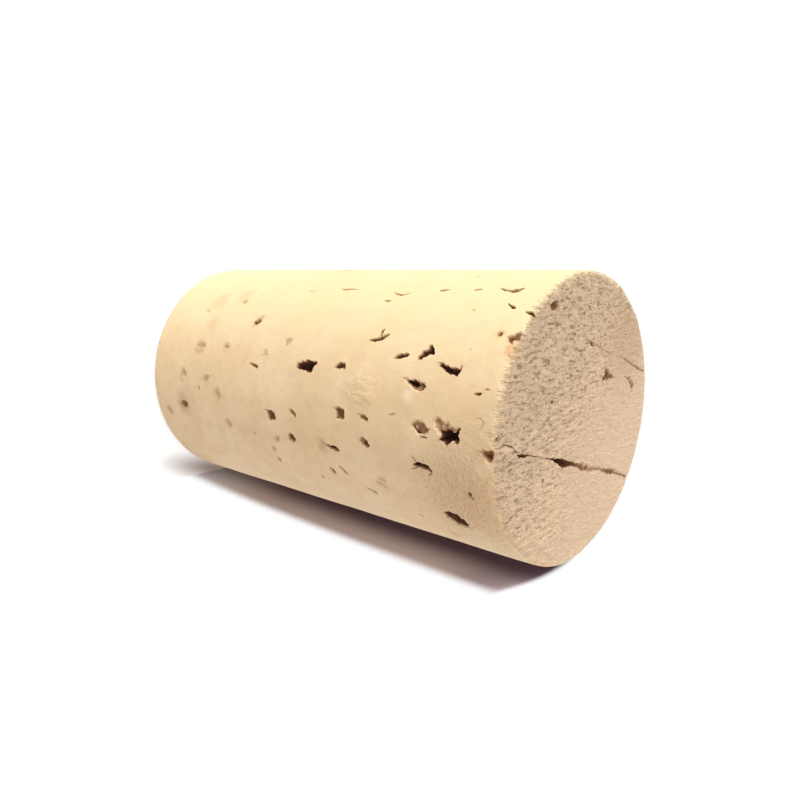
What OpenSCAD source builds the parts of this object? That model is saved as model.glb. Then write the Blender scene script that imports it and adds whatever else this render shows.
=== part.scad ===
// Natural cork stopper: one plug punched from cork bark, with open pores in its wall
// and a split across its top end.
// The plug stands on its foot, with its axis on +Z and the origin in the middle of the foot.
// The bark's pore channels ran along Y, so the wall's front and back show their open ends,
// its two sides show them lengthways, and the top end is split along them.
// A place on the wall is a drop below the top end and a bearing about the axis:
// bearing 0 is the front (-Y) and bearing 90 is the +X side.

/* [Plug] */
// Length from end to end
plug_length = 45; // [38:0.5:54]
// Diameter
plug_diameter = 24; // [22:0.5:26]
// Rounding of the rim at the top end
top_round = 0.4; // [0.1:0.1:1]
// Rounding of the rim at the foot
foot_round = 0.5; // [0.2:0.1:2]

/* [Pores] */
// Depth of every pore, as a share of its usual depth
pore_depth = 1; // [0.5:0.1:1.5]
// Width of a pore at its floor, as a share of the width of its mouth
pore_floor = 0.65; // [0.4:0.05:0.9]

/* [Split in the top end] */
// Width of the split, as a share of its usual width
split_width = 1; // [0.5:0.1:1.5]
// Depth of the split, as a share of its usual depth
split_depth = 1; // [0.5:0.1:1.5]

/* [Hidden] */
cork_colour = [0.87, 0.73, 0.55];
radius = plug_diameter / 2;
// Steps in each rounded rim
round_steps = 4;
// How far a cutter stands out of the surface that it cuts
clear = 0.3;
// The ends' marks spread with the diameter from their places on a 24 mm end
spread = plug_diameter / 24;
// No wall pore comes nearer than this to the foot
foot_margin = 2;

// Outlines of pore mouths, in mm from the pore's middle: [up the wall, round the wall]
jagged = [
    [-0.8, -0.4], [-0.35, -0.4], [0.1, -0.6], [0.45, -0.5], [1, -0.8], [0.9, -0.3], [1, 0],
    [0.9, 0.45], [0.5, 0.25], [0.25, 0.4], [-0.2, 0.9], [-0.45, 0.5], [-0.8, 0.35], [-0.65, 0]
];
ledge = [
    [-1.35, -1.05], [-1.15, -1.4], [-0.8, -1.35], [-0.35, -1.15], [0.1, -1.1], [0.45, -0.85],
    [0.7, -0.75], [0.6, -0.4], [-0.2, -0.05], [-0.5, -0.15], [-1, -0.4], [-1.25, -0.6]
];
lump = [
    [-0.95, -0.15], [-0.65, -0.45], [0, -0.55], [0.55, -0.3], [0.95, 0.15],
    [0.75, 0.5], [0.4, 0.7], [-0.2, 0.65], [-0.55, 0.4], [-0.95, 0.15]
];
comma = [
    [-1.05, -0.35], [-0.75, -0.4], [-0.35, -0.2], [0.1, -0.35], [0.7, -0.3], [1.1, -0.2], [1.3, 0.1],
    [1.15, 0.4], [0.8, 0.55], [0.5, 0.5], [0.1, 0.4], [-0.35, 0.1], [-0.8, -0.15]
];
wedge = [
    [-1.15, -0.45], [-0.65, -0.4], [-0.2, -0.2], [0.25, -0.1], [0.7, -0.15], [1.05, -0.4],
    [1.1, 0.05], [0.95, 0.4], [0.6, 0.5], [0.2, 0.45], [-0.25, 0.2], [-0.75, -0.15]
];
boot = [
    [-0.75, 0.3], [-0.55, 0.05], [-0.35, -0.2], [-0.05, -0.4], [0, -0.75], [0.3, -0.5],
    [0.5, -0.35], [0.55, -0.05], [0.25, 0.15], [-0.15, 0.3], [-0.35, 0.5], [-0.65, 0.55]
];
sliver = [
    [-0.8, 0.25], [-0.5, -0.05], [-0.15, -0.2], [0.4, -0.3],
    [0.65, -0.15], [0.4, 0.05], [0, 0.2], [-0.5, 0.3]
];
slab = [
    [-1.3, 0.3], [-1.1, -0.2], [-0.5, -0.5], [0.2, -0.6], [0.7, -0.5],
    [1.3, -0.5], [0.9, 0.3], [0.4, 0.6], [0, 0.4], [-0.7, 0.4]
];
slanted = [
    [-1, -0.4], [-0.4, -0.5], [0.5, -0.4], [0.8, -0.1], [1, 0.4],
    [0.5, 0.4], [0, 0.4], [-0.6, -0.1]
];
tooth = [
    [-0.5, -0.4], [0.1, -0.5], [0.5, -0.3], [0.5, 0.2], [0.2, 0.5], [-0.3, 0.4], [-0.3, 0]
];
chip = [
    [-0.5, -0.3], [0, -0.3], [0.5, 0], [0.5, 0.3], [0, 0.2], [-0.3, 0]
];
bean = [
    [-0.65, 0.15], [-0.5, -0.2], [0, -0.35], [0.5, -0.25], [0.65, 0.1], [0.4, 0.35], [0.1, 0.1], [-0.3, 0.3]
];
hollow = [
    [-0.6, -0.1], [-0.4, -0.4], [0.1, -0.45], [0.5, -0.2], [0.65, 0.2], [0.3, 0.45], [-0.2, 0.35]
];
spot = [
    [-0.8, -0.3], [-0.1, -0.5], [0.7, -0.35], [0.9, 0.2], [0.3, 0.5], [-0.6, 0.35]
];
rim_bite = [
    [-0.8, 0], [-0.5, 0.4], [0.9, 0.5], [0.9, -0.4], [0.1, -0.4]
];
rim_nick = [
    [-0.9, 0.15], [-0.6, -0.15], [-0.25, -0.25], [0.05, -0.45], [0.5, -0.5], [0.8, -0.35],
    [0.45, -0.1], [0.1, 0.1], [-0.1, 0.3], [-0.15, 0.5], [-0.45, 0.35]
];

// Open pores of the front: [drop, bearing, depth, outline]
front_pores = [
    [4.1, 0, 2.4, jagged],
    [4.1, 0, 0.5, ledge],
    [6.7, -2, 0.4, lump],
    [8, -17, 0.9, comma],
    [5, -24, 1.5, wedge],
    [7.4, -29, 1.5, boot],
    [9.7, -27, 1.1, sliver],
    [20.2, -18, 1.9, slab],
    [16, -20, 0.9, bean],
    [24.6, 6, 1.2, tooth],
    [21.5, 3, 0.6, chip],
    [15.5, -1, 1, tooth],
    [12.7, -1, 0.7, chip],
    [12.7, 9, 0.6, hollow],
    [4.6, 35, 1.3, slanted],
    [2.6, 20, 0.7, chip],
    [39.3, 9, 0.7, spot],
    [29, -36, 0.6, chip],
    [31.7, 15, 0.5, chip]
];
// Open pores of the back, which the same channels gave
back_pores = [
    [7.2, 176, 1.4, wedge],
    [11.5, 198, 0.9, tooth],
    [14.8, 161, 1.1, comma],
    [18.5, 187, 0.7, chip],
    [23.6, 170, 1.6, slab],
    [28.2, 201, 0.8, tooth],
    [33.4, 182, 1.2, boot],
    [37.8, 166, 0.7, chip]
];
// Pores that break the rim of the top end
rim_pores = [
    [0.4, 3, 0.6, rim_bite],
    [0.6, -38, 0.5, rim_nick]
];
// Thin streaks: [drop, bearing, length, width, bend, tilt, depth]
// A streak with no tilt runs up the wall, and one at 90 runs round it.
streaks = [
    [22, 15, 0.8, 0.6, 0, 0, 0.9],
    [16.5, 15, 1.7, 0.3, 0.1, 6, 0.5],
    [6.6, 14, 1.9, 0.35, 0.1, 4, 0.5],
    [12.8, -34, 1.8, 0.3, 0.2, -24, 0.4],
    [1.9, -17, 0.8, 0.3, 0, -8, 0.4],
    [0.4, -49, 1.3, 0.3, 0, 22, 0.5],
    [3.4, -61, 1.9, 0.25, 0.4, -8, 0.5],
    [2.2, -52, 1, 0.25, 0, 35, 0.5],
    [26.8, -15, 1.5, 0.35, -0.1, 8, 0.5],
    [38.8, -5, 1.2, 0.4, 0, 0, 0.5],
    [17.3, 27, 0.8, 0.4, 0, 30, 0.4],
    [9.2, -60, 1, 0.3, 0, 0, 0.4],
    [13.8, -56, 2, 0.25, 0.2, 10, 0.3],
    [10.5, 84, 2.2, 0.5, 0.1, 112, 0.6],
    [17.8, 97, 1.6, 0.5, 0.1, 63, 0.5],
    [27.5, 88, 2.2, 0.5, 0.1, 133, 0.6],
    [35.2, 100, 1.4, 0.5, 0, 113, 0.5],
    [14.2, 268, 1.9, 0.5, 0.1, 57, 0.5],
    [24.9, 277, 2.1, 0.5, 0.1, 118, 0.6],
    [33.6, 263, 1.3, 0.5, 0, 78, 0.5]
];
// The split's stations from the front to the back: [y, its -X lip, its +X lip, depth]
split_stations = [
    [-8.9, 1.1, 1.2, 0.4], [-8.5, 1.1, 1.4, 0.9], [-7.9, 1.2, 1.6, 1.1],
    [-7.2, 1.4, 1.6, 0.5], [-5.9, 1.7, 1.9, 0.4], [-4.7, 2, 2.2, 0.6],
    [-3.6, 2.3, 2.5, 1], [-2.6, 2.4, 3.1, 2], [-2.1, 2.5, 3.4, 2.2],
    [-1.2, 3, 3.3, 1.6], [0.3, 3.4, 3.7, 1.3], [1.2, 3.6, 4.3, 1.5],
    [2.3, 4, 4.5, 1.5], [4.1, 4.4, 4.8, 1.2], [6.3, 4.9, 5.5, 1.2],
    [7.2, 5.3, 5.6, 0.9], [9.4, 6.1, 6.4, 0.8], [11.6, 6.8, 7.5, 1]
];
// The stations of a hairline in the top end, in the same form
hairline_stations = [
    [5.5, -5.3, -5.2, 0.3], [6.8, -4.9, -4.6, 0.4], [8.4, -4.3, -4, 0.4], [9.9, -3.8, -3.7, 0.3]
];
// Pits in the top end: [x, y, depth, outline], the outline as [along X, along Y]
top_pits = [
    [-3.6, 4.5, 0.9, [
        [0.5, -0.8], [0.1, -0.8], [-0.1, -0.3], [-0.6, -0.4], [-0.6, 0.1],
        [-0.2, 0.5], [0.3, 1.3], [0.4, 0.6], [0.5, -0.1]
    ]],
    [-9.4, -5, 0.7, [[0, -0.5], [-0.3, -0.1], [-0.3, 0.3], [0, 0.5], [0.3, 0.2], [0.4, -0.3]]],
    [-6.3, 1, 0.4, [[-0.2, -0.4], [0.2, -0.2], [0.3, 0.4], [0, 0.3]]],
    [-2, 8.9, 0.3, [
        [-0.9, -1.1], [-0.5, -0.5], [-0.1, 0.2], [0.5, 0.4], [0.8, 0.1],
        [0.8, 0.5], [0.3, 0.8], [-0.4, 0.5], [-0.8, -0.2]
    ]]
];
// Pits in the foot
foot_pits = [
    [3.1, -4.2, 0.7, [[-0.5, -0.4], [0.1, -0.5], [0.5, -0.3], [0.5, 0.2], [0.2, 0.5], [-0.3, 0.4]]],
    [-4.6, 3.5, 0.5, [[-0.5, -0.3], [0, -0.3], [0.5, 0], [0.5, 0.3], [0, 0.2]]]
];

// Points on a quarter circle about a centre, from one angle over 90 degrees
function quarter(centre, r, from) =
    [for (i = [0 : round_steps]) let (a = from + 90 * i / round_steps) centre + r * [cos(a), sin(a)]];

// A thin lens along the first axis, bowed to one side by the bend and turned by the tilt
function lens(length, width, bend, tilt) =
    let (
        marks = [-1, -0.6, 0, 0.6, 1],
        side = function(s) [
            for (m = marks) [m * length / 2, (bend + s * width / 2) * (1 - m * m)]
        ],
        front = side(-1),
        back = side(1),
        ring = concat(front, [for (i = [3 : -1 : 1]) back[i]])
    )
    [for (p = ring) [p[0] * cos(tilt) - p[1] * sin(tilt), p[0] * sin(tilt) + p[1] * cos(tilt)]];

// How far a pore's cutter has widened at its top, from its floor
function flare(depth) = 1 + (1 / pore_floor - 1) * (depth + clear) / depth;

// A pore cut straight into the wall
module pore(drop, bearing, depth, outline) {
    deep = depth * pore_depth;
    if (drop < plug_length - foot_margin)
        rotate([0, 0, bearing])
        translate([0, -(radius - deep), plug_length - drop])
        rotate([90, 0, 0])
        linear_extrude(height = deep + clear, scale = flare(deep))
        polygon([for (p = outline) pore_floor * [p[1], p[0]]]);
}

// A pit cut straight down into an end that faces up
module pit(x, y, depth, outline) {
    translate([x * spread, y * spread, -depth])
    linear_extrude(height = depth + clear, scale = flare(depth))
    polygon(pore_floor * outline);
}

// A V-shaped split that opens at z = 0 and runs through its stations
module split(stations, wide, deep) {
    last = len(stations) - 1;
    // Above the end's face the V keeps on widening at the same slope
    rise = function(d) (d + clear) / d;
    points = [
        for (s = stations)
        let (
            middle = (s[1] + s[2]) / 2,
            depth = s[3] * deep,
            half = (s[2] - s[1]) / 2 * wide * rise(depth)
        )
        each [
            [middle * spread - half, s[0] * spread, clear],
            [middle * spread + half, s[0] * spread, clear],
            [middle * spread, s[0] * spread, -depth]
        ]
    ];
    walls = [
        for (i = [0 : last - 1])
        let (a = 3 * i, b = 3 * i + 3)
        each [
            [a, b, b + 1], [a, b + 1, a + 1],
            [b, a, a + 2], [b, a + 2, b + 2],
            [a + 1, b + 1, b + 2], [a + 1, b + 2, a + 2]
        ]
    ];
    ends = [[0, 1, 2], [3 * last + 1, 3 * last, 3 * last + 2]];
    polyhedron(points = points, faces = concat(walls, ends));
}

// The punched plug before its pores, with both rims rounded
module plug() {
    top = plug_length - top_round;
    rotate_extrude()
    polygon(concat(
        [[0, 0]],
        quarter([radius - foot_round, foot_round], foot_round, -90),
        quarter([radius - top_round, top], top_round, 0),
        [[0, plug_length]]
    ));
}

module cork_stopper() {
    color(cork_colour)
    difference() {
        plug();
        for (p = concat(front_pores, back_pores, rim_pores)) pore(p[0], p[1], p[2], p[3]);
        for (s = streaks) pore(s[0], s[1], s[6], lens(s[2], s[3], s[4], s[5]));
        translate([0, 0, plug_length]) {
            split(split_stations, split_width, split_depth);
            split(hairline_stations, split_width, split_depth);
            for (p = top_pits) pit(p[0], p[1], p[2], p[3]);
        }
        mirror([0, 0, 1])
        for (p = foot_pits) pit(p[0], p[1], p[2], p[3]);
    }
}

cork_stopper();
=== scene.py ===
"""Natural cork stopper: a plug punched from bark, with open pores and a split end."""

import math
import random
from functools import partial

import bmesh
import bpy
from bpy.props import FloatProperty, IntProperty, PointerProperty, StringProperty
from mathutils import Matrix, Vector, noise
from mathutils.geometry import delaunay_2d_cdt


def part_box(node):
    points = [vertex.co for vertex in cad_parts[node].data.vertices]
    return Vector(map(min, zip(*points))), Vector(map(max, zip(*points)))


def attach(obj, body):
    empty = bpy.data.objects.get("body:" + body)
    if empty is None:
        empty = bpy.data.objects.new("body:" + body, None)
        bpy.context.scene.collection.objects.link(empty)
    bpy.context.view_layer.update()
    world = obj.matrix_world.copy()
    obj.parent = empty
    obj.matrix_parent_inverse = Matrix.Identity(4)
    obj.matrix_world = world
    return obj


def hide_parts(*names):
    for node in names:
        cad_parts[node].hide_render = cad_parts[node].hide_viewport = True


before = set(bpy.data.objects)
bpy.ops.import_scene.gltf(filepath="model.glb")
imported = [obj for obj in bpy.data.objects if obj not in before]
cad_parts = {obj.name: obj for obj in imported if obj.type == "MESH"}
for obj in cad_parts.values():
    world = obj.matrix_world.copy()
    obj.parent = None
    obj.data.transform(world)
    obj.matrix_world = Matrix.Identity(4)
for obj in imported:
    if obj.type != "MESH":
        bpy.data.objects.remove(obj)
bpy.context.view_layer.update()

bl_info = {
    "name": "Cork Stopper",
    "version": (1, 0, 0),
    "blender": (4, 5, 0),
    "location": "View3D > Sidebar > Cork",
    "description": "Builds a natural cork stopper with open pores and a split in its end",
    "category": "Add Mesh",
}

MM = 0.001
NODE_LOW, NODE_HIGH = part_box("cork_stopper")
# The plug in mm, as the frame has it, and how its two rims are rounded
LENGTH = (NODE_HIGH[2] - NODE_LOW[2]) / MM
RADIUS = (NODE_HIGH[0] - NODE_LOW[0]) / MM / 2
TOP_ROUND = 0.4
FOOT_ROUND = 0.5
# The finish takes both rims to be rounded alike, in mm
RIM = 0.45
# How far a cutter stands out of the skin, in mm
PROUD = 0.35
# Half the side of the floor and of the table, and how far along X the table stands, in mm
SHEET_REACH = 2000
TABLE_X = RADIUS + 0.08
# The way that the key light shines
KEY_WAY = (1, 0.12, -0.12)
# The camera: its place in mm, the way it looks, its lens and sensor in mm, and its shift
CAMERA_PLACE = (-12.0, -55.23, 73.35)
CAMERA_LOOK = (0.2283, 0.6667, -0.7095)
CAMERA_LENS = 33.58
CAMERA_SENSOR = 36
CAMERA_SHIFT = (0.1, 0.055)

# ---------------------------------------------------------------- pore mouths
# Outlines in mm from the pore's middle: (up the wall, round the wall), or (along X, along Y) on an end.

MOUTHS = {
    "jagged": [
        (-1.35, -1.05), (-1.15, -1.4), (-0.8, -1.35), (-0.35, -1.15), (0.1, -1.1), (0.45, -0.85),
        (1.0, -0.85), (0.9, -0.4), (-0.2, 0), (-0.8, -0.15), (-1.0, -0.4), (-1.25, -0.6),
    ],
    "lump": [
        (-0.95, -0.15), (-0.65, -0.45), (0, -0.55), (0.55, -0.3), (0.95, 0.15),
        (0.75, 0.5), (0.4, 0.7), (-0.2, 0.65), (-0.55, 0.4), (-0.95, 0.15),
    ],
    "comma": [
        (-1.05, -0.35), (-0.75, -0.4), (-0.35, -0.2), (0.1, -0.35), (0.7, -0.3), (1.1, -0.2), (1.3, 0.1),
        (1.15, 0.4), (0.8, 0.55), (0.5, 0.5), (0.1, 0.4), (-0.35, 0.1), (-0.8, -0.15),
    ],
    "wedge": [
        (-1.15, -0.45), (-0.65, -0.4), (-0.2, -0.2), (0.25, -0.1), (0.7, -0.15), (1.05, -0.4),
        (1.1, 0.05), (0.95, 0.4), (0.6, 0.5), (0.2, 0.45), (-0.25, 0.2), (-0.75, -0.15),
    ],
    "boot": [
        (-0.75, 0.3), (-0.55, 0.05), (-0.35, -0.2), (-0.05, -0.4), (0, -0.75), (0.3, -0.5),
        (0.5, -0.35), (0.55, -0.05), (0.25, 0.15), (-0.15, 0.3), (-0.35, 0.5), (-0.65, 0.55),
    ],
    "sliver": [
        (-0.8, 0.25), (-0.5, -0.05), (-0.15, -0.2), (0.4, -0.3),
        (0.65, -0.15), (0.4, 0.05), (0, 0.2), (-0.5, 0.3),
    ],
    "slab": [
        (-1.3, 0.3), (-1.1, -0.2), (-0.5, -0.5), (0.2, -0.6), (0.7, -0.5),
        (1.3, -0.5), (0.9, 0.3), (0.4, 0.6), (0, 0.4), (-0.7, 0.4),
    ],
    "slanted": [
        (-1.15, -0.4), (-0.5, -0.75), (0.25, -0.75), (0.8, -0.25), (1.15, 0.6),
        (0.5, 0.75), (-0.3, 0.7), (-0.8, 0.15),
    ],
    "tooth": [
        (-0.7, -0.45), (0.15, -0.55), (0.7, -0.35), (0.7, 0.25), (0.3, 0.55), (-0.4, 0.45), (-0.4, 0),
    ],
    "chip": [(-0.6, -0.35), (0, -0.35), (0.6, 0), (0.6, 0.35), (0, 0.25), (-0.35, 0)],
    "rim_bite": [
        (-1.05, -0.1), (-0.75, 0.15), (-0.4, 0.35), (-0.1, 0.7), (0.25, 0.85), (0.3, 0.35),
        (0.7, 0.15), (1.0, -0.15), (1.0, -0.4), (0.2, -0.4), (-0.4, -0.3),
    ],
    "rim_nick": [
        (-0.95, 0.15), (-0.75, -0.15), (-0.3, -0.3), (0.05, -0.55), (0.6, -0.6), (1.0, -0.4),
        (0.6, 0.0), (0.2, 0.2), (-0.1, 0.4), (-0.2, 0.65), (-0.55, 0.45),
    ],
    "bean": [
        (-0.65, 0.15), (-0.5, -0.2), (0, -0.35), (0.5, -0.25),
        (0.65, 0.1), (0.4, 0.35), (0.1, 0.1), (-0.3, 0.3),
    ],
    "hollow": [
        (-0.6, -0.1), (-0.4, -0.4), (0.1, -0.45), (0.5, -0.2), (0.65, 0.2), (0.3, 0.45), (-0.2, 0.35),
    ],
    "spot": [(-0.8, -0.3), (-0.1, -0.5), (0.7, -0.35), (0.9, 0.2), (0.3, 0.5), (-0.6, 0.35)],
    "dot": [(-0.5, -0.1), (-0.1, -0.45), (0.35, -0.35), (0.5, 0.1), (0.1, 0.45), (-0.35, 0.35)],
    "drop": [(-0.4, 0), (-0.1, -0.25), (0.3, -0.2), (0.45, 0.05), (0.2, 0.25), (-0.2, 0.2)],
    "fang": [
        (0.5, -0.8), (0.1, -0.8), (-0.1, -0.3), (-0.6, -0.4), (-0.6, 0.1),
        (-0.2, 0.5), (0.3, 1.3), (0.4, 0.6), (0.5, -0.1),
    ],
    "kite": [(0, -0.65), (-0.4, -0.1), (-0.35, 0.35), (0, 0.55), (0.35, 0.25), (0.42, -0.35)],
    "crumb": [(-0.2, -0.4), (0.2, -0.2), (0.3, 0.4), (0, 0.3)],
    "tick": [
        (-0.9, -1.1), (-0.5, -0.5), (-0.1, 0.2), (0.5, 0.4), (0.8, 0.1),
        (0.8, 0.5), (0.3, 0.8), (-0.4, 0.5), (-0.8, -0.2),
    ],
    "clod": [(-0.5, -0.4), (0.1, -0.5), (0.5, -0.3), (0.5, 0.2), (0.2, 0.5), (-0.3, 0.4)],
    "flake": [(-0.5, -0.3), (0, -0.3), (0.5, 0), (0.5, 0.3), (0, 0.2)],
    # Deeper parts inside another mouth
    "jagged_core": [
        (-0.8, -0.4), (-0.35, -0.4), (0.1, -0.6), (0.45, -0.5), (1.0, -0.8), (0.9, -0.3), (1.0, 0),
        (0.9, 0.45), (0.5, 0.25), (0.25, 0.4), (-0.2, 0.9), (-0.45, 0.5), (-0.8, 0.35), (-0.65, 0),
    ],
    "comma_core": [
        (-0.9, -0.3), (-0.5, -0.25), (0.2, -0.27), (0.55, -0.15),
        (0.6, 0.15), (0.3, 0.3), (0, 0.22), (-0.4, 0.02),
    ],
    "wedge_core": [(-0.15, 0.02), (0.5, 0.0), (0.75, -0.05), (0.6, 0.25), (0.1, 0.3)],
    "slab_core": [
        (-0.9, 0.2), (-0.7, -0.15), (-0.2, -0.4), (0.5, -0.45), (0.9, -0.3), (0.6, 0.3), (-0.4, 0.3),
    ],
    "slanted_core": [(-0.85, -0.35), (-0.4, -0.6), (0.25, -0.55), (0.9, 0.4), (0.4, 0.55), (-0.5, 0.3)],
}

# ---------------------------------------------------------------- pores, cracks and stains

# Open pores of the front: (drop below the top end, bearing, depth, outline).
# Bearing 0 is the front (-Y) and 90 is the +X side.
FRONT_PORES = [
    (4.1, 0, 0.28, "jagged"),
    (6.7, -2, 0.3, "lump"),
    (8, -17, 0.36, "comma"),
    (5, -24, 1.1, "wedge"),
    (7.4, -29, 1.2, "boot"),
    (9.7, -27, 0.9, "sliver"),
    (20.2, -18, 1.2, "slab"),
    (16, -20, 0.6, "bean"),
    (24.6, 6, 0.5, "tooth"),
    (21.5, 3, 0.4, "chip"),
    (22, 15, 0.5, "dot"),
    (15.5, -1, 0.42, "tooth"),
    (12.7, -1, 0.42, "chip"),
    (12.7, 9, 0.36, "hollow"),
    (4.6, 36, 1.4, "slanted"),
    (2.6, 20.4, 0.24, "drop"),
    (39.3, 10.5, 0.34, "spot"),
    (31.7, 15, 0.2, "chip"),
]
# Parts of them that go deeper
DEEP_PORES = [
    (4.1, 0, 2.4, "jagged_core"),
    (8, -17, 1.4, "comma_core"),
    (5, -24, 1.5, "wedge_core"),
    (20.2, -18, 1.9, "slab_core"),
    (4.6, 36, 2.3, "slanted_core"),
    (12.5, 9.8, 0.7, "drop"),
]
# Open pores of the back, which the same channels gave
BACK_PORES = [
    (7.2, 176, 1.4, "wedge"),
    (11.5, 198, 0.9, "tooth"),
    (14.8, 161, 1.1, "comma"),
    (18.5, 187, 0.7, "chip"),
    (23.6, 170, 1.6, "slab"),
    (28.2, 201, 0.8, "tooth"),
    (33.4, 182, 1.2, "boot"),
    (37.8, 166, 0.7, "chip"),
]
# Bites out of the top rim
RIM_PORES = [
    (0.5, 3, 0.4, "rim_bite"),
    (0.4, -38.3, 0.4, "rim_nick"),
]
# Small open ends of channels, scattered over the front: (drop, bearing, length, width, depth)
SMALL_PORES = [
    (28.9, -36.5, 1.2, 0.9, 0.17),
    (38.9, -5.7, 1.2, 1.0, 0.2),
    (34.8, -5.2, 0.9, 0.9, 0.19),
    (32.9, 1.1, 0.6, 1.1, 0.2),
    (31.6, 15.3, 0.8, 1.0, 0.19),
    (42.6, 15.6, 1.3, 1.1, 0.18),
    (24.2, 17, 0.7, 0.5, 0.24),
    (25.2, 23.2, 0.6, 0.5, 0.24),
    (25, 29.3, 0.5, 0.45, 0.24),
    (32.2, -21.8, 0.9, 0.6, 0.19),
    (2.5, 20.7, 0.35, 0.35, 0.6),
    (2.2, 21.9, 0.25, 0.2, 0.4),
    (36.6, -20.8, 1.8, 0.7, 0.19),
    (26.1, -21.9, 0.5, 0.7, 0.2),
    (23.4, -28, 0.45, 0.25, 0.17),
    (6.3, 2, 0.8, 0.2, 0.3),
    (9.6, -4.5, 0.9, 0.25, 0.3),
    (1.85, -39, 0.45, 0.4, 0.5),
    (33, -47, 1.3, 0.5, 0.25),
    (38, -40, 0.9, 0.6, 0.25),
    (5.2, -49, 0.3, 0.25, 0.3),
    (19.4, 33, 0.5, 0.35, 0.35),
    (8.6, 41, 0.6, 0.3, 0.35),
]
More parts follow.
